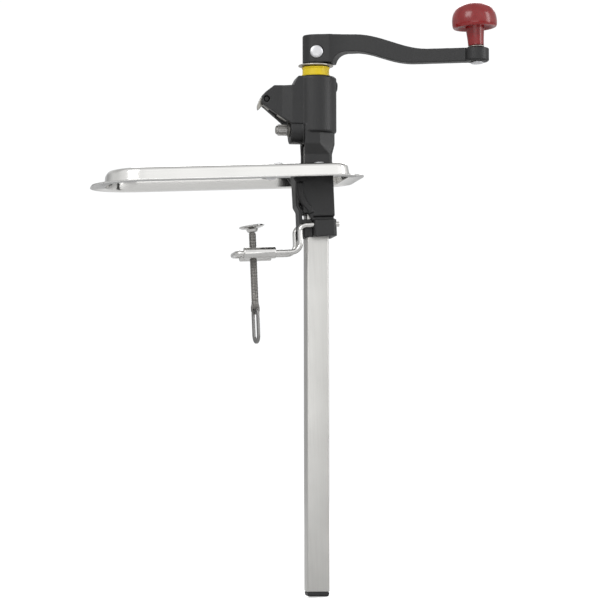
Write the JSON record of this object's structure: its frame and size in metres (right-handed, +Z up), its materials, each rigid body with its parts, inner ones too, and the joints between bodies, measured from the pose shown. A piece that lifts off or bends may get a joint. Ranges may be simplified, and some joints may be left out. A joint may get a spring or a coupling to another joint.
{
  "type": "table mounted manual can opener",
  "caption": "Crank can opener on a square steel bar: black cast head with knife and feed wheel, red knob, polished can plate, and a wire-yoke thumb-screw clamp for a table edge.",
  "frame": {"origin": "on the axis of the bar's sleeve, at the level of the table top that the can plate rests on", "axes": "+Z up, +X away from the can towards the crank side, -Y towards the user"},
  "size_m": [0.3435, 0.1151, 0.4938],
  "materials": {
    "cast_black": "satin black paint over a sand-cast surface",
    "polished_steel": "polished, with a few soft stamping lines",
    "satin_steel": "satin, brushed along its length",
    "dark_steel": "plated, oiled and slightly dark",
    "black_plastic": "matte moulded",
    "yellow_plastic": "satin moulded",
    "red_plastic": "gloss moulded"
  },
  "bodies": {
    "base": {"base_plate": "polished_steel", "base_casting": "cast_black", "plate_rivet_1": "satin_steel", "plate_rivet_2": "satin_steel", "plate_rivet_3": "satin_steel", "plate_rivet_4": "satin_steel", "clamp_yoke": "polished_steel"},
    "saddle": {"saddle_plate": "polished_steel", "saddle_nut": "satin_steel"},
    "pad": {"clamp_pad": "polished_steel"},
    "screw": {"clamp_screw": "dark_steel"},
    "loop": {"screw_loop": "dark_steel"},
    "slider": {"bar": "satin_steel", "bar_end_plug": "black_plastic", "head_casting": "cast_black", "bar_screw_1": "dark_steel", "bar_screw_2": "dark_steel", "knife_blade": "satin_steel", "knife_block": "satin_steel", "knife_screw": "dark_steel", "feed_bush": "satin_steel", "top_bushing": "yellow_plastic", "thrust_washer": "polished_steel"},
    "crank": {"driving_gear": "satin_steel", "arbor": "satin_steel", "crank_arm": "cast_black", "crank_pin": "satin_steel", "knob_stud": "satin_steel", "knob_washer": "satin_steel"},
    "feed": {"feed_wheel": "satin_steel", "feed_shaft": "satin_steel", "driven_gear": "satin_steel"},
    "knob": {"knob": "red_plastic"}
  },
  "joints": [
    {"name": "bar_slide", "type": "slide", "parent": "base", "child": "slider", "axis": [0.0384, 0, 0.9993], "range_m": [0, 0.28]},
    {"name": "crank_spin", "type": "hinge", "parent": "slider", "child": "crank", "pos_m": [0.00468, 0, 0.10491], "axis": [0.0384, 0, 0.9993], "continuous": true},
    {"name": "feed_spin", "type": "hinge", "parent": "slider", "child": "feed", "pos_m": [0.00233, 0, 0.04376], "axis": [0.9993, 0, -0.0384], "continuous": true},
    {"name": "knob_spin", "type": "hinge", "parent": "crank", "child": "knob", "pos_m": [0.13458, -0.04477, 0.09952], "axis": [-0.0177, 0.0193, 0.9997], "continuous": true},
    {"name": "saddle_slide", "type": "slide", "parent": "base", "child": "saddle", "axis": [1, 0, 0], "range_m": [-0.0006, 0.013]},
    {"name": "pad_lift", "type": "slide", "parent": "saddle", "child": "pad", "axis": [0, 0, 1], "range_m": [-0.0123, 0.0328]},
    {"name": "screw_turn", "type": "hinge", "parent": "pad", "child": "screw", "pos_m": [-0.0556, 0, -0.07], "axis": [0, 0, 1], "range_deg": [-4300, 10500]},
    {"name": "loop_swing", "type": "hinge", "parent": "screw", "child": "loop", "pos_m": [-0.0556, 0, -0.10743], "axis": [0.2079, -0.9781, 0], "range_deg": [-95, 95]}
  ],
  "couplings": [
    {"joint": "feed_spin", "follows": "crank_spin", "ratio": 1},
    {"joint": "screw_turn", "follows": "pad_lift", "rad_per_m": 4947.4}
  ]
}
